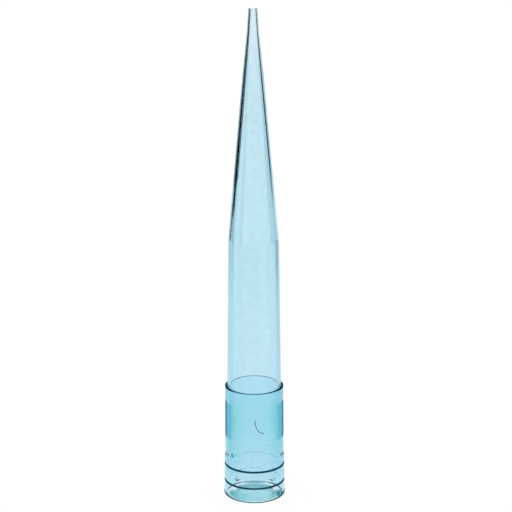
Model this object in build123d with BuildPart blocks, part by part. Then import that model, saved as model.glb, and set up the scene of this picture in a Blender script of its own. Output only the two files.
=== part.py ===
from build123d import *
import os

os.makedirs("parts", exist_ok=True)

# A one-piece moulded pipette tip for a 1 ml pipette, in millimetres. It stands on its open mouth at
# z = 0 with the point up, and every section is a ring about the Z axis.

# Lengths along the axis.
overall_length = 71.0
collar_height = 16.75
body_length = 21.85
point_length = 3.2  # the last stretch of the cone, with the gentlest taper
flare_length = 5.8  # the stretch below it, where the wall changes

# The socket that takes the pipette's nose cone.
socket_bore = 7.04  # the parallel land that seals
land_bottom = 10.5
land_length = 3.2
mouth_opening = 0.5  # how much wider than the land the mouth is, on each side

# Walls.
socket_wall = 0.73  # beside the land, at the ledge
foot_wall = 0.47  # at the rim
body_wall = 0.4
kink_wall = 0.43
cone_wall = 0.38  # where the flare begins
flare_wall = 0.25  # where the flare ends and the point begins
point_wall = 0.23  # at the orifice

# Outside of the body and cone.
shoulder_width = 0.32  # the flat ledge that hangs in a rack's hole
kink_diameter = 7.21
flare_bottom_diameter = 2.93
point_bottom_diameter = 1.66
orifice_outer_diameter = 1.22

# Outside of the collar: a barrel with a raised ring, and a band and a foot below it that stand
# slightly prouder. The ring and the band each end in a shallow undercut groove.
collar_draft = 0.05  # how much the barrel widens from the ledge down to the ring, on each side
ring_top = 6.35
ring_bottom = 4.94
ring_proud = 0.09
band_proud = 0.01  # more than the ring
foot_top = 3.5
foot_proud = 0.04  # more than the band
foot_groove = 2.36  # the upper edge of the groove in the foot
upper_flank = 0.35  # the height of the slope above the ring and above the foot
groove_depth = 0.06
groove_flank = 0.17
groove_lip = 0.05
rim_flare_height = 1.2  # below this the foot leans out to the rim

# Edges.
rim_radius = 0.1
orifice_radius = 0.03

# Heights that follow.
kink_height = collar_height + body_length
point_bottom = overall_length - point_length
flare_bottom = point_bottom - flare_length
land_top = land_bottom + land_length

# Radii that follow.
land_radius = socket_bore / 2
mouth_radius = land_radius + mouth_opening
rim_outer_radius = mouth_radius + foot_wall
ledge_outer_radius = land_radius + socket_wall
barrel_bottom_radius = ledge_outer_radius + collar_draft
ring_radius = barrel_bottom_radius + ring_proud
band_radius = ring_radius + band_proud
foot_radius = band_radius + foot_proud
body_bottom_radius = ledge_outer_radius - shoulder_width
kink_radius = kink_diameter / 2
flare_bottom_radius = flare_bottom_diameter / 2
point_bottom_radius = point_bottom_diameter / 2
orifice_outer_radius = orifice_outer_diameter / 2


def groove_outline(radius, top):
    """An undercut groove, from the wall below it up to the start of its upper edge."""
    floor_height = top - groove_flank
    return [(radius, floor_height - groove_lip), (radius - groove_depth, floor_height)]


outer_outline = [
    (rim_outer_radius, 0.0),
    (foot_radius, rim_flare_height),
    *groove_outline(foot_radius, foot_groove),
    (foot_radius, foot_groove),
    (foot_radius, foot_top - upper_flank),
    (band_radius, foot_top),
    *groove_outline(band_radius, ring_bottom),
    (ring_radius, ring_bottom),
    (ring_radius, ring_top - upper_flank),
    (barrel_bottom_radius, ring_top),
    (ledge_outer_radius, collar_height),
    (body_bottom_radius, collar_height),
    (kink_radius, kink_height),
    (flare_bottom_radius, flare_bottom),
    (point_bottom_radius, point_bottom),
    (orifice_outer_radius, overall_length),
]

bore_outline = [
    (mouth_radius, 0.0),
    (land_radius, land_bottom),
    (land_radius, land_top),
    (body_bottom_radius - body_wall, collar_height),
    (kink_radius - kink_wall, kink_height),
    (flare_bottom_radius - cone_wall, flare_bottom),
    (point_bottom_radius - flare_wall, point_bottom),
    (orifice_outer_radius - point_wall, overall_length),
]

with BuildPart() as pipette_tip:
    # the outside, turned as one solid
    with BuildSketch(Plane.XZ):
        with BuildLine():
            Polyline([(0, 0), *outer_outline, (0, overall_length)], close=True)
        make_face()
    revolve(axis=Axis.Z)
    # the bore, from the mouth to the orifice
    with BuildSketch(Plane.XZ):
        with BuildLine():
            Polyline([(0, 0), *bore_outline, (0, overall_length)], close=True)
        make_face()
    revolve(axis=Axis.Z, mode=Mode.SUBTRACT)
    # the mould's small edge radii
    circles = pipette_tip.edges().filter_by(GeomType.CIRCLE)
    fillet(circles.group_by(Axis.Z)[0], radius=rim_radius)
    fillet(circles.group_by(Axis.Z)[-1], radius=orifice_radius)

pipette_tip.part.label = "pipette_tip"
export_step(pipette_tip.part, "parts/pipette_tip.step")
print("pipette_tip", round(pipette_tip.part.volume, 3), "mm3")
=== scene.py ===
import math

import bpy
from mathutils import Matrix, Vector


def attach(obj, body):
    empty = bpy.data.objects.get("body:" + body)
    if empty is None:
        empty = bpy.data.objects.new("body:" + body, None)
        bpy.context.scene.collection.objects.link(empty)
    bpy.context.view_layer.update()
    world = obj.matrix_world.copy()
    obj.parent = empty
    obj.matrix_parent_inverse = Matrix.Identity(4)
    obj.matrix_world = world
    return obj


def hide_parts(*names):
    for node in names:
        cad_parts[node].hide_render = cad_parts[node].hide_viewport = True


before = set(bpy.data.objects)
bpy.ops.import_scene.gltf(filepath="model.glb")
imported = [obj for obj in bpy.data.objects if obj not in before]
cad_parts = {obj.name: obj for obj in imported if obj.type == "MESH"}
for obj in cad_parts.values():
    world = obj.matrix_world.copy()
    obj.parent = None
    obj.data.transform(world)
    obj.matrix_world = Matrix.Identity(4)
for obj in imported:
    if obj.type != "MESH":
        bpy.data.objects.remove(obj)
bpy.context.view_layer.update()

mm = 0.001
white = (1.0, 1.0, 1.0, 1.0)
noiseSpread = (0.3, 0.7)         # nearly all of a noise texture's values lie between these
scene = bpy.context.scene


def inMetres(lengths):
    return tuple(v * mm for v in lengths)


def newMesh(name, verts, faces=(), edges=()):
    mesh = bpy.data.meshes.new(name)
    mesh.from_pydata([tuple(v) for v in verts], list(edges), list(faces))
    piece = bpy.data.objects.new(name, mesh)
    scene.collection.objects.link(piece)
    return piece


def newMaterial(name):
    material = bpy.data.materials.new(name)
    material.use_nodes = True
    material.node_tree.nodes.clear()
    return material, material.node_tree


def addNode(tree, kind, **settings):
    node = tree.nodes.new(kind)
    for key, value in settings.items():
        setattr(node, key, value)
    return node


def fill(tree, sockets, values):
    for socket, value in zip(sockets, values):
        if isinstance(value, (int, float, tuple)):
            socket.default_value = value
        else:
            tree.links.new(value, socket)


def mathNode(tree, operation, *given):
    node = addNode(tree, "ShaderNodeMath", operation=operation)
    fill(tree, node.inputs, given)
    return node.outputs[0]


def vectorMath(tree, operation, *given):
    node = addNode(tree, "ShaderNodeVectorMath", operation=operation)
    fill(tree, node.inputs, given)
    return node.outputs["Value" if operation == "LENGTH" else "Vector"]


def rampNode(tree, value, low, high, toLow=0.0, toHigh=1.0, smooth=True):
    node = addNode(tree, "ShaderNodeMapRange", interpolation_type="SMOOTHSTEP" if smooth else "LINEAR")
    names = ("Value", "From Min", "From Max", "To Min", "To Max")
    fill(tree, [node.inputs[name] for name in names], (value, low, high, toLow, toHigh))
    return node.outputs[0]


def mixColor(tree, share, first, second):
    node = addNode(tree, "ShaderNodeMix", data_type="RGBA")
    fill(tree, (node.inputs["Factor"], node.inputs[6], node.inputs[7]), (share, first, second))
    return node.outputs[2]


def mixShaders(tree, share, first, second):
    node = addNode(tree, "ShaderNodeMixShader")
    fill(tree, node.inputs, (share, first.outputs[0], second.outputs[0]))
    return node.outputs[0]


def colorRamp(tree, value, stops):
    node = addNode(tree, "ShaderNodeValToRGB")
    tree.links.new(value, node.inputs["Fac"])
    marks = node.color_ramp.elements
    for number, (position, color) in enumerate(stops):
        mark = marks[number] if number < 2 else marks.new(1.0)
        mark.position = position
        mark.color = color
    return node.outputs["Color"]


def noiseNode(tree, place, size, detail=2.0):
    node = addNode(tree, "ShaderNodeTexNoise")
    tree.links.new(place, node.inputs["Vector"])
    node.inputs["Scale"].default_value = 1 / (size * mm)
    node.inputs["Detail"].default_value = detail
    return node.outputs["Fac"]


def bumpNode(tree, height, strength, depth):
    node = addNode(tree, "ShaderNodeBump")
    tree.links.new(height, node.inputs["Height"])
    node.inputs["Strength"].default_value = strength
    node.inputs["Distance"].default_value = depth * mm
    return node.outputs[0]


def objectPlace(tree):
    return addNode(tree, "ShaderNodeTexCoord").outputs["Object"]


def partsOf(tree, place):
    split = addNode(tree, "ShaderNodeSeparateXYZ")
    tree.links.new(place, split.inputs[0])
    return split.outputs


def heightOf(tree, place):
    return partsOf(tree, place)["Z"]


def axisDistance(tree, place):
    return vectorMath(tree, "LENGTH", vectorMath(tree, "MULTIPLY", place, (1, 1, 0)))


cameraSettings = {
    "distance": 196.0,           # mm from the tip's axis, level
    "height": 88.5,              # mm
    "pitch": 14.957,             # degrees below level
    "yaw": 0.094,                # degrees, to set the tip a little left of the middle
    "roll": -0.19,
    "halfAngle": 10.178,         # half of the field of view
    "clipStart": 10.0,           # mm
}


def makeCamera(s):
    data = bpy.data.cameras.new("camera")
    camera = bpy.data.objects.new("camera", data)
    scene.collection.objects.link(camera)
    data.sensor_fit = "HORIZONTAL"
    data.angle = math.radians(2 * s["halfAngle"])
    data.clip_start = s["clipStart"] * mm
    camera.location = (0, -s["distance"] * mm, s["height"] * mm)
    turn = Matrix.Rotation(math.radians(-s["yaw"]), 4, "Z")
    turn = turn @ Matrix.Rotation(math.radians(90 - s["pitch"]), 4, "X")
    turn = turn @ Matrix.Rotation(math.radians(s["roll"]), 4, "Z")
    camera.rotation_euler = turn.to_euler()
    scene.camera = camera


makeCamera(cameraSettings)
scene.view_settings.view_transform = "Standard"
print("camera placed")


# Lengths are in millimetres. From length down to rimFlare they are the solid's own sizes.
tip = {
    "segments": 240,
    "arcStep": 14.0,             # degrees of turn for each step of a rounded corner
    "support": 0.03,             # a loop this close to each rounded corner keeps the long walls true
    "reachShare": 0.35,          # a corner's round takes at most this share of the sides that meet there
    "weld": 0.0005,              # closes the lathed mesh on itself
    "length": 71.0,
    "collarHeight": 16.75,
    "bodyLength": 21.85,
    "pointLength": 3.2,
    "flareLength": 5.8,
    "landRadius": 3.52,
    "landBottom": 10.5,
    "landLength": 3.2,
    "mouthRadius": 4.02,
    "barrelTop": 4.25,
    "barrelBottom": 4.3,
    "bodyWall": 0.40,
    "kinkWall": 0.43,
    "coneWall": 0.38,
    "flareWall": 0.25,
    "pointWall": 0.23,
    "bodyRadius": 3.93,
    "kinkRadius": 3.605,
    "flareRadius": 1.465,
    "pointRadius": 0.83,
    "orificeRadius": 0.61,
    "ringTop": 6.35,
    "ringGrooves": (4.94, 2.36),  # the upper edges of the undercut grooves
    "ringProud": 0.09,
    "bandProud": 0.01,           # more than the ring
    "footProud": 0.04,           # more than the band
    "footTop": 3.5,
    "upperFlank": 0.35,          # the slopes above the ring and above the foot
    "grooveDepth": 0.06,
    "grooveFlank": 0.17,
    "grooveLip": 0.05,
    "rimRadius": 4.49,
    "rimFlare": 1.2,             # below this the foot leans out to the rim
    # the corners' radii; the solid has only its two ends rounded
    "rounds": {
        "rim": 0.1,
        "mouth": 0.12,
        "foot": 1.0,
        "groove": 0.02,
        "flank": 0.06,
        "ledge": 0.05,
        "kink": 4.0,
        "taper": 8.0,
        "landBottom": 20.0,
        "boreStep": 1.0,
        "orifice": 0.03,
    },
}


def grooveCorners(radius, top, s):
    floor = top - s["grooveFlank"]
    crisp = s["rounds"]["groove"]
    return [(radius, floor - s["grooveLip"], crisp), (radius - s["grooveDepth"], floor, crisp)]


def tipCorners(s):
    kinkHeight = s["collarHeight"] + s["bodyLength"]
    pointBottom = s["length"] - s["pointLength"]
    flareBottom = pointBottom - s["flareLength"]
    ring = s["barrelBottom"] + s["ringProud"]
    band = ring + s["bandProud"]
    foot = band + s["footProud"]
    upper, lower = s["ringGrooves"]
    rounds = s["rounds"]
    outside = [
        (s["rimRadius"], 0.0, rounds["rim"]),
        (foot, s["rimFlare"], rounds["foot"]),
        *grooveCorners(foot, lower, s),
        (foot, lower, rounds["groove"]),
        (foot, s["footTop"] - s["upperFlank"], rounds["flank"]),
        (band, s["footTop"], rounds["flank"]),
        *grooveCorners(band, upper, s),
        (ring, upper, rounds["groove"]),
        (ring, s["ringTop"] - s["upperFlank"], rounds["flank"]),
        (s["barrelBottom"], s["ringTop"], rounds["flank"]),
        (s["barrelTop"], s["collarHeight"], rounds["ledge"]),
        (s["bodyRadius"], s["collarHeight"], rounds["ledge"]),
        (s["kinkRadius"], kinkHeight, rounds["kink"]),
        (s["flareRadius"], flareBottom, rounds["taper"]),
        (s["pointRadius"], pointBottom, rounds["taper"]),
        (s["orificeRadius"], s["length"], rounds["orifice"]),
    ]
    inside = [
        (s["mouthRadius"], 0.0, rounds["mouth"]),
        (s["landRadius"], s["landBottom"], rounds["landBottom"]),
        (s["landRadius"], s["landBottom"] + s["landLength"], rounds["taper"]),
        (s["bodyRadius"] - s["bodyWall"], s["collarHeight"], rounds["boreStep"]),
        (s["kinkRadius"] - s["kinkWall"], kinkHeight, rounds["kink"]),
        (s["flareRadius"] - s["coneWall"], flareBottom, rounds["taper"]),
        (s["pointRadius"] - s["flareWall"], pointBottom, rounds["taper"]),
        (s["orificeRadius"] - s["pointWall"], s["length"], rounds["orifice"]),
    ]
    return outside + inside[::-1]


def roundCorners(corners, s):
    points = []
    count = len(corners)
    for i in range(count):
        before = Vector(corners[i - 1][:2])
        corner = Vector(corners[i][:2])
        after = Vector(corners[(i + 1) % count][:2])
        toBefore = (before - corner).normalized()
        toAfter = (after - corner).normalized()
        turn = math.pi - toBefore.angle(toAfter)
        longest = s["reachShare"] * min((before - corner).length, (after - corner).length)
        reach = min(corners[i][2] * math.tan(turn / 2), longest)
        steps = max(2, math.ceil(math.degrees(turn) / s["arcStep"]))
        start = corner + toBefore * reach
        end = corner + toAfter * reach
        radius = reach / math.tan(turn / 2)
        centre = corner + (toBefore + toAfter).normalized() * (radius / math.cos(turn / 2))
        points.append(start + toBefore * min(s["support"], reach))
        for k in range(steps + 1):
            along = start.lerp(end, k / steps)
            points.append(centre + (along - centre).normalized() * radius)
        points.append(end + toAfter * min(s["support"], reach))
    return points


def newTree(name, *sockets):
    tree = bpy.data.node_groups.new(name, "GeometryNodeTree")
    tree.interface.new_socket("Geometry", in_out="INPUT", socket_type="NodeSocketGeometry")
    for label, kind in sockets:
        tree.interface.new_socket(label, in_out="INPUT", socket_type=kind)
    tree.interface.new_socket("Geometry", in_out="OUTPUT", socket_type="NodeSocketGeometry")
    return tree, addNode(tree, "NodeGroupInput").outputs


def finishTree(tree, geometry, given):
    smooth = addNode(tree, "GeometryNodeSetShadeSmooth")
    tree.links.new(geometry, smooth.inputs["Geometry"])
    real = addNode(tree, "GeometryNodeRealizeInstances")
    tree.links.new(smooth.outputs[0], real.inputs[0])
    painted = addNode(tree, "GeometryNodeSetMaterial")
    tree.links.new(real.outputs[0], painted.inputs["Geometry"])
    tree.links.new(given["Material"], painted.inputs["Material"])
    tree.links.new(painted.outputs[0], addNode(tree, "NodeGroupOutput").inputs[0])
    return tree


def bakeTree(piece, tree, **inputs):
    modifier = piece.modifiers.new(tree.name, "NODES")
    modifier.node_group = tree
    for item in tree.interface.items_tree:
        if item.in_out == "INPUT" and item.name in inputs:
            modifier[item.identifier] = inputs[item.name]
    bpy.context.view_layer.update()
    made = bpy.data.meshes.new_from_object(piece.evaluated_get(bpy.context.evaluated_depsgraph_get()))
    piece.modifiers.clear()
    piece.data = made


def latheTree():
    tree, given = newTree("lathe", ("Outline Points", "NodeSocketInt"), ("Segments", "NodeSocketInt"),
                          ("Weld Distance", "NodeSocketFloat"), ("Material", "NodeSocketMaterial"))
    link = tree.links.new

    def intMath(operation, *values):
        node = addNode(tree, "FunctionNodeIntegerMath", operation=operation)
        fill(tree, node.inputs, values)
        return node.outputs[0]

    # a grid with one row for each point of the outline, and one column for each step round the axis and one
    # more that closes the turn
    grid = addNode(tree, "GeometryNodeMeshGrid")
    link(intMath("ADD", given["Segments"], 1), grid.inputs["Vertices X"])
    link(given["Outline Points"], grid.inputs["Vertices Y"])
    index = addNode(tree, "GeometryNodeInputIndex").outputs[0]
    row = intMath("MODULO", index, given["Outline Points"])
    column = intMath("DIVIDE_FLOOR", index, given["Outline Points"])
    outline = addNode(tree, "GeometryNodeSampleIndex", data_type="FLOAT_VECTOR", domain="POINT")
    link(given["Geometry"], outline.inputs["Geometry"])
    link(addNode(tree, "GeometryNodeInputPosition").outputs[0], outline.inputs["Value"])
    link(row, outline.inputs["Index"])
    flat = partsOf(tree, outline.outputs["Value"])
    share = mathNode(tree, "DIVIDE", column, given["Segments"])
    angle = mathNode(tree, "MULTIPLY", share, 2 * math.pi)
    place = addNode(tree, "ShaderNodeCombineXYZ")
    link(mathNode(tree, "MULTIPLY", flat["X"], mathNode(tree, "COSINE", angle)), place.inputs["X"])
    link(mathNode(tree, "MULTIPLY", flat["X"], mathNode(tree, "SINE", angle)), place.inputs["Y"])
    link(flat["Z"], place.inputs["Z"])
    moved = addNode(tree, "GeometryNodeSetPosition")
    link(grid.outputs["Mesh"], moved.inputs["Geometry"])
    link(place.outputs[0], moved.inputs["Position"])
    welded = addNode(tree, "GeometryNodeMergeByDistance")
    link(moved.outputs[0], welded.inputs["Geometry"])
    link(given["Weld Distance"], welded.inputs["Distance"])
    return finishTree(tree, welded.outputs[0], given)


# A line or tint of painted shade is a band round the collar at a height, with a half width and a fade, in
# millimetres. It is wider by grow where the wall turns edge on, and one with grazing shows only there, from
# the first of its two values up to the second.
plastic = {
    "ior": 1.49,
    "density": 670.0,                        # per metre, times what each colour below lacks of 1
    "volumeColor": (0.0, 0.715, 0.865, 1.0),
    "clear": (0.985, 0.972, 0.985, 1),
    "cloudy": (0.93, 0.935, 0.965, 1),
    "cloudSize": 0.9,                        # mm
    "cloudDetail": 4.0,
    "grainSize": 0.16,                       # mm
    "grainShare": 0.3,
    "roughness": (0.005, 0.025),
    "relief": (0.1, 0.01),                   # strength, and depth in mm
    "marksBeyond": 4.0,                      # mm from the axis: only the collar's outside and the mouth's lip
    "paintedShadeLines": {                               # shade in the sharp corners and along the collar's outline
        "upperRing": {"height": 4.80, "half": 0.13, "fade": 0.04, "grow": 0.08,
                      "color": (0.003, 0.065, 0.095, 1)},
        "lowerRing": {"height": 2.25, "half": 0.12, "fade": 0.04, "grow": 0.08,
                      "color": (0.003, 0.065, 0.095, 1)},
        "rimEdge": {"height": -0.05, "half": 0.04, "fade": 0.2, "grow": 0.55,
                    "color": (0.015, 0.12, 0.16, 1)},
        "ledgeEnds": {"height": 16.75, "half": 0.0, "fade": 0.08, "grow": 0.16, "grazing": (0.25, 0.55),
                      "color": (0.002, 0.06, 0.1, 1)},
        "outline": {"height": 11.9, "half": 2.6, "fade": 0.3, "grow": 0.0, "grazing": (0.64, 0.76),
                    "color": (0.05, 0.25, 0.32, 1)},
    },
    "paintedShadeTints": {                               # painted shade: teal, then deeper blue, where the thick collar's sides turn edge on, and deeper blue along its ledge
        "bands": {"height": 10.9, "half": 3.9, "fade": 0.8, "grow": 0.0, "grazing": (0.08, 0.34),
                  "color": (0.68, 0.94, 0.82, 1)},
        "sides": {"height": 11.9, "half": 2.6, "fade": 0.3, "grow": 0.0, "grazing": (0.30, 0.56),
                  "color": (0.035, 0.50, 0.68, 1)},
        "ledge": {"height": 16.75, "half": 0.03, "fade": 0.05, "grow": 0.0,
                  "color": (0.08, 0.6, 0.68, 1)},
    },
}


def makePlastic(s):
    material, tree = newMaterial("bluePolypropylene")
    link = tree.links.new
    output = addNode(tree, "ShaderNodeOutputMaterial")
    shader = addNode(tree, "ShaderNodeBsdfPrincipled")
    shader.inputs["Transmission Weight"].default_value = 1.0
    shader.inputs["IOR"].default_value = s["ior"]
    place = objectPlace(tree)
    height = heightOf(tree, place)
    radius = axisDistance(tree, place)
    outside = mathNode(tree, "SUBTRACT", 1.0, addNode(tree, "ShaderNodeNewGeometry").outputs["Backfacing"])
    facing = addNode(tree, "ShaderNodeLayerWeight").outputs["Facing"]
    collar = mathNode(tree, "GREATER_THAN", radius, s["marksBeyond"] * mm)

    def shareOf(mark):
        away = mathNode(tree, "ABSOLUTE", mathNode(tree, "SUBTRACT", height, mark["height"] * mm))
        away = mathNode(tree, "SUBTRACT", away, mathNode(tree, "MULTIPLY", facing, mark["grow"] * mm))
        band = rampNode(tree, away, mark["half"] * mm, (mark["half"] + mark["fade"]) * mm, 1.0, 0.0)
        if "grazing" in mark:
            band = mathNode(tree, "MULTIPLY", band, rampNode(tree, facing, *mark["grazing"]))
        return mathNode(tree, "MULTIPLY", mathNode(tree, "MULTIPLY", band, collar), outside)

    cloud = noiseNode(tree, place, s["cloudSize"], s["cloudDetail"])
    grain = noiseNode(tree, place, s["grainSize"])
    color = mixColor(tree, rampNode(tree, cloud, *noiseSpread), s["clear"], s["cloudy"])
    # painted shade: the tints change the base colour by height and by how edge on the wall turns
    for tint in s["paintedShadeTints"].values():
        color = mixColor(tree, shareOf(tint), color, tint["color"])
    # painted shade: the lines' dark colours, and how much of them shows
    shade = (0.0, 0.0, 0.0, 1.0)
    dark = 0.0
    for line in s["paintedShadeLines"].values():
        share = shareOf(line)
        shade = mixColor(tree, share, shade, line["color"])
        dark = mathNode(tree, "MAXIMUM", dark, share)
    uneven = mathNode(tree, "ADD", cloud, mathNode(tree, "MULTIPLY", grain, s["grainShare"]))
    link(color, shader.inputs["Base Color"])
    link(rampNode(tree, cloud, *noiseSpread, *s["roughness"]), shader.inputs["Roughness"])
    link(bumpNode(tree, uneven, *s["relief"]), shader.inputs["Normal"])
    # the painted shade, drawn as a dark matt shader mixed into the plastic
    corner = addNode(tree, "ShaderNodeBsdfDiffuse")
    link(shade, corner.inputs["Color"])
    absorb = addNode(tree, "ShaderNodeVolumeAbsorption")
    absorb.inputs["Color"].default_value = s["volumeColor"]
    absorb.inputs["Density"].default_value = s["density"]
    link(mixShaders(tree, dark, shader, corner), output.inputs["Surface"])
    link(absorb.outputs[0], output.inputs["Volume"])
    return material


outline = roundCorners(tipCorners(tip), tip)
outline.append(outline[0])
pipetteTip = newMesh("pipetteTipShell", [(p.x * mm, 0, p.y * mm) for p in outline])
bakeTree(pipetteTip, latheTree(), **{
    "Outline Points": len(outline), "Segments": tip["segments"],
    "Weld Distance": tip["weld"] * mm, "Material": makePlastic(plastic)})
print("tip lathed:", len(pipetteTip.data.polygons), "faces")
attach(pipetteTip, "root")
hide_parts("pipette_tip")


# grit on the collar's outside: degrees round from the front, height, width and tallness in mm
grit = {
    "depth": 0.03,               # mm out of the wall
    "specks": [
        (22, 9.0, 0.14, 0.12), (28, 9.5, 0.09, 0.09), (19, 8.3, 0.13, 0.13), (-8, 8.3, 0.13, 0.14),
        (-31, 7.7, 0.12, 0.08), (6, 7.1, 0.11, 0.09), (-2, 6.9, 0.12, 0.11), (46, 6.5, 0.2, 0.12),
        (8, 6.4, 0.1, 0.1), (-8, 6.4, 0.12, 0.12), (-42, 6.1, 0.16, 0.12), (38, 6.1, 0.13, 0.12),
        (36, 5.1, 0.16, 0.14), (-37, 3.8, 0.2, 0.16), (-38, 3.4, 0.6, 0.14), (41, 3.4, 0.42, 0.14),
        (49, 3.7, 0.2, 0.14), (40, 2.7, 0.16, 0.16), (34, 2.05, 0.2, 0.18), (36, 1.95, 0.24, 0.16),
        (38, 1.15, 0.26, 0.22), (18, 0.9, 0.14, 0.12), (8, 0.75, 0.12, 0.1),
    ],
    "color": (0.02, 0.11, 0.15, 1),
    "paler": (0.06, 0.2, 0.25, 1),
    "spotSize": 0.06,            # mm
    "roughness": (0.5, 0.8),
    "relief": (0.3, 0.01),       # strength, and depth in mm
}

# two thin films of deeper blue
smears = {
    "depth": 0.02,
    "specks": [(-49, 6.8, 0.6, 0.74), (58, 0.8, 1.7, 1.2)],
    "color": (0.34, 0.66, 0.72, 1),
    "paler": (0.52, 0.82, 0.86, 1),
    "spotSize": 0.4,
    "roughness": (0.1, 0.3),
    "relief": (0.3, 0.01),
    "shine": 0.04,               # how much of a film is gloss
}

# one hairline mark that runs down the front and curls away: degrees round from the front, and height
hairline = {
    "route": [(1, 12.8), (2, 12.2), (4, 11.65), (7, 11.2), (12, 10.9), (19, 10.65)],
    "thickness": 0.1,
    "color": (0.02, 0.06, 0.08, 1),
    "paler": (0.06, 0.12, 0.15, 1),
    "spotSize": 0.06,
    "roughness": (0.5, 0.8),
    "relief": (0.3, 0.01),
}


def collarPoint(degrees, height, s):
    ring = s["ringProud"] if height < s["ringTop"] else 0.0
    radius = s["barrelBottom"] + (s["barrelTop"] - s["barrelBottom"]) * height / s["collarHeight"] + ring
    angle = math.radians(degrees - 90)
    return Vector((radius * math.cos(angle), radius * math.sin(angle), height)) * mm


def makeDarkMaterial(name, s):
    material, tree = newMaterial(name)
    link = tree.links.new
    output = addNode(tree, "ShaderNodeOutputMaterial")
    shader = addNode(tree, "ShaderNodeBsdfPrincipled")
    spots = noiseNode(tree, objectPlace(tree), s["spotSize"])
    link(mixColor(tree, spots, s["color"], s["paler"]), shader.inputs["Base Color"])
    link(rampNode(tree, spots, *noiseSpread, *s["roughness"]), shader.inputs["Roughness"])
    link(bumpNode(tree, spots, *s["relief"]), shader.inputs["Normal"])
    link(shader.outputs[0], output.inputs["Surface"])
    return material


def makeFilmMaterial(name, s):
    material, tree = newMaterial(name)
    link = tree.links.new
    output = addNode(tree, "ShaderNodeOutputMaterial")
    film = addNode(tree, "ShaderNodeBsdfTransparent")
    shine = addNode(tree, "ShaderNodeBsdfGlossy")
    spots = noiseNode(tree, objectPlace(tree), s["spotSize"])
    link(mixColor(tree, rampNode(tree, spots, *noiseSpread), s["color"], s["paler"]), film.inputs["Color"])
    link(rampNode(tree, spots, *noiseSpread, *s["roughness"]), shine.inputs["Roughness"])
    link(bumpNode(tree, spots, *s["relief"]), shine.inputs["Normal"])
    link(mixShaders(tree, s["shine"], film, shine), output.inputs["Surface"])
    return material


def speckTree():
    tree, given = newTree("speck", ("Material", "NodeSocketMaterial"))
    ball = addNode(tree, "GeometryNodeMeshIcoSphere")
    ball.inputs["Radius"].default_value = 0.5        # 1 across, so that its scale is its size
    ball.inputs["Subdivisions"].default_value = 2
    spread = addNode(tree, "GeometryNodeInstanceOnPoints")
    tree.links.new(given["Geometry"], spread.inputs["Points"])
    tree.links.new(ball.outputs["Mesh"], spread.inputs["Instance"])
    for name, socket in (("speckTurn", "Rotation"), ("speckSize", "Scale")):
        stored = addNode(tree, "GeometryNodeInputNamedAttribute", data_type="FLOAT_VECTOR")
        stored.inputs["Name"].default_value = name
        tree.links.new(stored.outputs["Attribute"], spread.inputs[socket])
    return finishTree(tree, spread.outputs["Instances"], given)


def makeSpecks(name, s, body, makeShade):
    piece = newMesh(name, [collarPoint(speck[0], speck[1], body) for speck in s["specks"]])
    turn = piece.data.attributes.new("speckTurn", "FLOAT_VECTOR", "POINT")
    size = piece.data.attributes.new("speckSize", "FLOAT_VECTOR", "POINT")
    for i, (degrees, height, width, tall) in enumerate(s["specks"]):
        turn.data[i].vector = (0, 0, math.radians(degrees))
        size.data[i].vector = inMetres((width, 2 * s["depth"], tall))
    bakeTree(piece, speckTree(), Material=makeShade(name + "Shade", s))
    return piece


def markTree(steps=40, sides=8):
    tree, given = newTree("mark", ("Thickness", "NodeSocketFloat"), ("Material", "NodeSocketMaterial"))
    link = tree.links.new
    line = addNode(tree, "GeometryNodeMeshToCurve")
    link(given["Geometry"], line.inputs["Mesh"])
    bend = addNode(tree, "GeometryNodeCurveSplineType", spline_type="CATMULL_ROM")
    link(line.outputs[0], bend.inputs["Curve"])
    even = addNode(tree, "GeometryNodeResampleCurve", mode="COUNT")
    link(bend.outputs[0], even.inputs["Curve"])
    even.inputs["Count"].default_value = steps
    section = addNode(tree, "GeometryNodeCurvePrimitiveCircle")
    section.inputs["Resolution"].default_value = sides
    link(mathNode(tree, "DIVIDE", given["Thickness"], 2.0), section.inputs["Radius"])
    tube = addNode(tree, "GeometryNodeCurveToMesh")
    link(even.outputs[0], tube.inputs["Curve"])
    link(section.outputs["Curve"], tube.inputs["Profile Curve"])
    tube.inputs["Fill Caps"].default_value = True
    return finishTree(tree, tube.outputs[0], given)


def makeHairline(s, body):
    points = [collarPoint(degrees, height, body) for degrees, height in s["route"]]
    piece = newMesh("hairlineMark", points, edges=[(i, i + 1) for i in range(len(points) - 1)])
    bakeTree(piece, markTree(), Thickness=s["thickness"] * mm, Material=makeDarkMaterial("hairlineShade", s))
    return piece


marks = [
    makeSpecks("gritSpecks", grit, tip, makeDarkMaterial),
    makeSpecks("blueSmears", smears, tip, makeFilmMaterial),
    makeHairline(hairline, tip),
]
for piece in marks:
    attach(piece, "root")
    print(piece.name, len(piece.data.polygons), "faces")


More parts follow.
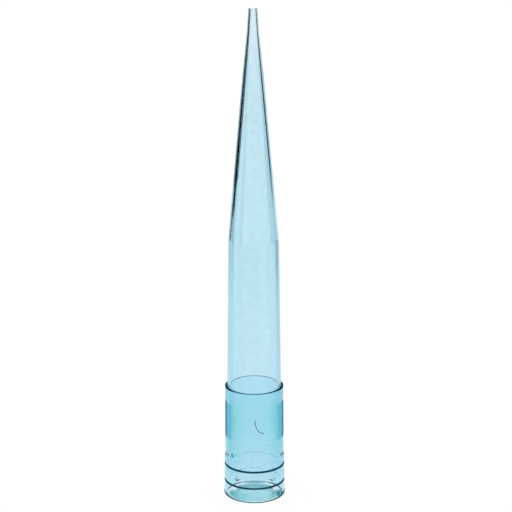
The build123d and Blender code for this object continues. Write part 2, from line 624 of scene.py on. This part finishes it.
# Lengths are in millimetres. X runs to the right and Y away from the front.
studio = {
    "floorSize": 6000.0,
    "floorColor": (0.8, 0.8, 0.8, 1),
    "glow": 1.05,                # the strength of the floor's own light
    "glowShare": 0.86,           # how much of the floor is that light, so that only a faint shadow is left
    "glowShareThrough": 0.9,     # the same where the plastic shows it
    # painted light and shade on the floor, all under the tip, for the light that the blue wall lets fall
    # there:
    # distance from the mouth's centre, and that light
    "mouthCentre": (0, -1.5, 0),
    "mouthReach": 6.0,
    "mouthLight": [
        (0.0, (0.50, 0.78, 0.86, 1)),
        (1.3, (0.49, 0.77, 0.84, 1)),
        (2.1, (0.56, 0.83, 0.89, 1)),
        (2.6, (0.48, 0.74, 0.80, 1)),
        (3.5, (0.26, 0.51, 0.57, 1)),
        (4.5, (0.25, 0.50, 0.57, 1)),
        (4.8, (0.60, 0.82, 0.88, 1)),
        (5.4, (1, 1, 1, 1)),
    ],
    # painted shade: the sides of its nearer half are darker: by how much, the middle between them, how far
    # from that they start and are full, and where they fade out towards the back
    "flankLight": (0.65, 0.87, 0.85, 1),
    "flankMiddle": 0.4,
    "flankReach": (0.8, 2.2),
    "flankEnd": (-0.8, 0.4),
    # it leaves out both sides of its farther half, and the floor this far from the axis
    "bareAside": (2.4, 3.0),
    "bareBehind": (0.3, 1.2),
    "bareBeyond": (3.45, 3.95),
    # painted shade on the floor, but only as the plastic shows it, bent or reflected: the floor is darker in
    # these sectors. Degrees left of straight behind the tip, and how much of the dark
    "darkSectors": [
        (-180, 1.0), (-155, 1.0), (-148, 0.0), (-122, 0.0), (-115, 1.0), (-98, 1.0), (-92, 0.0), (-66, 0.0),
        (-60, 1.0), (-32, 1.0), (-13, 0.0), (13, 0.0), (32, 1.0), (38, 1.0), (41, 0.0), (50, 0.0), (53, 1.0),
        (76, 1.0), (80, 0.0), (98, 0.0), (102, 1.0), (180, 1.0),
    ],
    "darkFrom": (4.5, 8.0),      # it begins this far from the axis, in front of the tip and behind it
    "darkTurnover": (-0.5, 0.5),     # where the first gives way to the second
    "darkReach": 180.0,
    "darkFloor": [               # painted shade: distance from the axis, and the light there, with a shadow close round the foot
        (4.5, (0.20, 0.33, 0.38, 1)),
        (5.2, (0.25, 0.40, 0.45, 1)),
        (6.5, (0.55, 0.72, 0.78, 1)),
        (7.5, (0.92, 0.98, 1.00, 1)),
        (12.0, (0.92, 0.98, 1.00, 1)),
        (14.0, (0.78, 0.89, 0.93, 1)),
        (41.5, (0.78, 0.86, 0.90, 1)),
        (110.0, (0.68, 0.76, 0.80, 1)),
        (140.0, (0.48, 0.55, 0.59, 1)),
        (170.0, (0.48, 0.55, 0.59, 1)),
        (180.0, (1, 1, 1, 1)),
    ],
    "daylight": 1.3,             # the world, to the camera and where it lights the floor
    "roomLight": 1.2,            # the same as the plastic shows it
    "whiteUpTo": 8.0,            # degrees above level: the white backdrop ends here and the dark room begins
    "fadeOver": 8.0,             # degrees
    "roomShade": 0.02,           # the light in the dark room
}


def seenThrough(tree, paths):
    return mathNode(tree, "MAXIMUM", paths["Is Glossy Ray"], paths["Is Transmission Ray"])


def distanceRamp(tree, distance, reach, stops):
    share = mathNode(tree, "DIVIDE", distance, reach * mm)
    return colorRamp(tree, share, [(stop / reach, color) for stop, color in stops])


def paintedMouthLight(tree, place, s):
    parts = partsOf(tree, place)
    away = axisDistance(tree, vectorMath(tree, "SUBTRACT", place, inMetres(s["mouthCentre"])))
    light = distanceRamp(tree, away, s["mouthReach"], s["mouthLight"])
    across = mathNode(tree, "ABSOLUTE", mathNode(tree, "SUBTRACT", parts["X"], s["flankMiddle"] * mm))
    nearer = rampNode(tree, parts["Y"], *inMetres(s["flankEnd"]), 1.0, 0.0)
    flank = mathNode(tree, "MULTIPLY", rampNode(tree, across, *inMetres(s["flankReach"])), nearer)
    light = vectorMath(tree, "MULTIPLY", light, mixColor(tree, flank, white, s["flankLight"]))
    aside = rampNode(tree, mathNode(tree, "ABSOLUTE", parts["X"]), *inMetres(s["bareAside"]))
    behind = rampNode(tree, parts["Y"], *inMetres(s["bareBehind"]))
    beyond = rampNode(tree, axisDistance(tree, place), *inMetres(s["bareBeyond"]))
    bare = mathNode(tree, "MAXIMUM", mathNode(tree, "MULTIPLY", aside, behind), beyond)
    return mixColor(tree, bare, light, white)


def darkSectorShare(tree, place, s):
    parts = partsOf(tree, place)
    turn = mathNode(tree, "ARCTAN2", mathNode(tree, "MULTIPLY", parts["X"], -1.0), parts["Y"])
    share = mathNode(tree, "ADD", mathNode(tree, "DIVIDE", turn, 2 * math.pi), 0.5)
    sector = colorRamp(tree, share, [((a + 180) / 360, (v, v, v, 1)) for a, v in s["darkSectors"]])
    start = rampNode(tree, parts["Y"], *inMetres(s["darkTurnover"] + s["darkFrom"]))
    beyond = mathNode(tree, "GREATER_THAN", axisDistance(tree, place), start)
    return mathNode(tree, "MULTIPLY", sector, beyond)


def makeFloor(s):
    half = s["floorSize"] * mm / 2
    corners = [(-half, -half, 0), (half, -half, 0), (half, half, 0), (-half, half, 0)]
    floor = newMesh("floor", corners, [(0, 1, 2, 3)])
    material, tree = newMaterial("paleFloor")
    link = tree.links.new
    output = addNode(tree, "ShaderNodeOutputMaterial")
    matt = addNode(tree, "ShaderNodeBsdfDiffuse")
    matt.inputs["Color"].default_value = s["floorColor"]
    glow = addNode(tree, "ShaderNodeEmission")
    glow.inputs["Strength"].default_value = s["glow"]
    place = objectPlace(tree)
    through = seenThrough(tree, addNode(tree, "ShaderNodeLightPath").outputs)
    dark = distanceRamp(tree, axisDistance(tree, place), s["darkReach"], s["darkFloor"])
    amount = mathNode(tree, "MULTIPLY", darkSectorShare(tree, place, s), through)
    link(mixColor(tree, amount, paintedMouthLight(tree, place, s), dark), glow.inputs["Color"])
    share = rampNode(tree, through, 0.0, 1.0, s["glowShare"], s["glowShareThrough"], smooth=False)
    link(mixShaders(tree, share, matt, glow), output.inputs["Surface"])
    floor.data.materials.append(material)


makeFloor(studio)


def makeWorld(s):
    world = bpy.data.worlds.new("studio")
    scene.world = world
    world.use_nodes = True
    tree = world.node_tree
    tree.nodes.clear()
    output = addNode(tree, "ShaderNodeOutputWorld")
    even = addNode(tree, "ShaderNodeBackground")
    even.inputs["Strength"].default_value = s["daylight"]
    room = addNode(tree, "ShaderNodeBackground")
    direction = heightOf(tree, addNode(tree, "ShaderNodeTexCoord").outputs["Generated"])
    low = math.sin(math.radians(s["whiteUpTo"]))
    high = math.sin(math.radians(s["whiteUpTo"] + s["fadeOver"]))
    light = rampNode(tree, direction, low, high, s["roomLight"], s["roomShade"], smooth=False)
    tree.links.new(light, room.inputs["Strength"])
    paths = addNode(tree, "ShaderNodeLightPath").outputs
    notMatt = mathNode(tree, "LESS_THAN", paths["Diffuse Depth"], 0.5)       # the ray lights no matt surface
    share = mathNode(tree, "MULTIPLY", seenThrough(tree, paths), notMatt)
    tree.links.new(mixShaders(tree, share, even, room), output.inputs["Surface"])


makeWorld(studio)


# Cards that only the plastic shows, bent or reflected. Each stands just over the floor in an arc round the
# tip, and most have a level strip in front of them. Lengths are in millimetres, and turns are degrees left
# of straight behind the tip.
cards = {
    "distance": 250.0,
    "foot": 0.3,                 # their lower edges, and the strips, are this far above the floor
    "top": 200.0,
    "stripFrom": 170.0,          # a strip reaches in to here
    "stripFade": (170.0, 195.0),
    "stripLight": 0.4,           # at its near edge, from where it fades to the light at the card's foot
    "turnStep": 3.0,
    "plainArc": {"footLight": 0.0, "topLight": 0.0, "fade": (0.0, 10.0), "strip": None},
    "arcs": {
        "left": {"from": 18, "to": 43, "strip": (26, 41.5)},
        "leftGap": {"from": 43, "to": 47},
        "farLeft": {"from": 47, "to": 72, "strip": (51, 72)},
        "nearLeft": {"from": 108, "to": 125, "strip": (108, 125)},
        "nearRight": {"from": 262, "to": 285, "strip": (262, 285)},
        "right": {"from": 285, "to": 327, "strip": (285, 320), "footLight": 0.6, "topLight": 0.08,
                  "fade": (0.0, 18.0)},
    },
}


def arcPoints(start, end, distance, height, step):
    steps = max(2, int(abs(end - start) / step))
    turns = [math.radians(90 + start + (end - start) * k / steps) for k in range(steps + 1)]
    return [inMetres((math.cos(t) * distance, math.sin(t) * distance, height)) for t in turns]


def makeBand(name, lower, upper, readPlace, fade, lights):
    count = len(lower)
    faces = [(k, k + 1, count + k + 1, count + k) for k in range(count - 1)]
    band = newMesh(name, lower + upper, faces)
    material, tree = newMaterial(name)
    output = addNode(tree, "ShaderNodeOutputMaterial")
    glow = addNode(tree, "ShaderNodeEmission")
    light = rampNode(tree, readPlace(tree, objectPlace(tree)), *inMetres(fade), *lights)
    tree.links.new(light, glow.inputs["Strength"])
    tree.links.new(glow.outputs[0], output.inputs["Surface"])
    band.data.materials.append(material)
    band.visible_camera = False
    band.visible_diffuse = False
    band.visible_shadow = False


def makeCard(name, arc, s):
    span = (arc["from"], arc["to"])
    foot = arcPoints(*span, s["distance"], s["foot"], s["turnStep"])
    top = arcPoints(*span, s["distance"], s["top"], s["turnStep"])
    makeBand(name + "Card", foot, top, heightOf, arc["fade"], (arc["footLight"], arc["topLight"]))
    if arc["strip"]:
        near = arcPoints(*arc["strip"], s["stripFrom"], s["foot"], s["turnStep"])
        far = arcPoints(*arc["strip"], s["distance"], s["foot"], s["turnStep"])
        makeBand(name + "Strip", near, far, axisDistance, s["stripFade"], (s["stripLight"], arc["footLight"]))


for name, arc in cards["arcs"].items():
    makeCard(name, {**cards["plainArc"], **arc}, cards)
print("studio set")
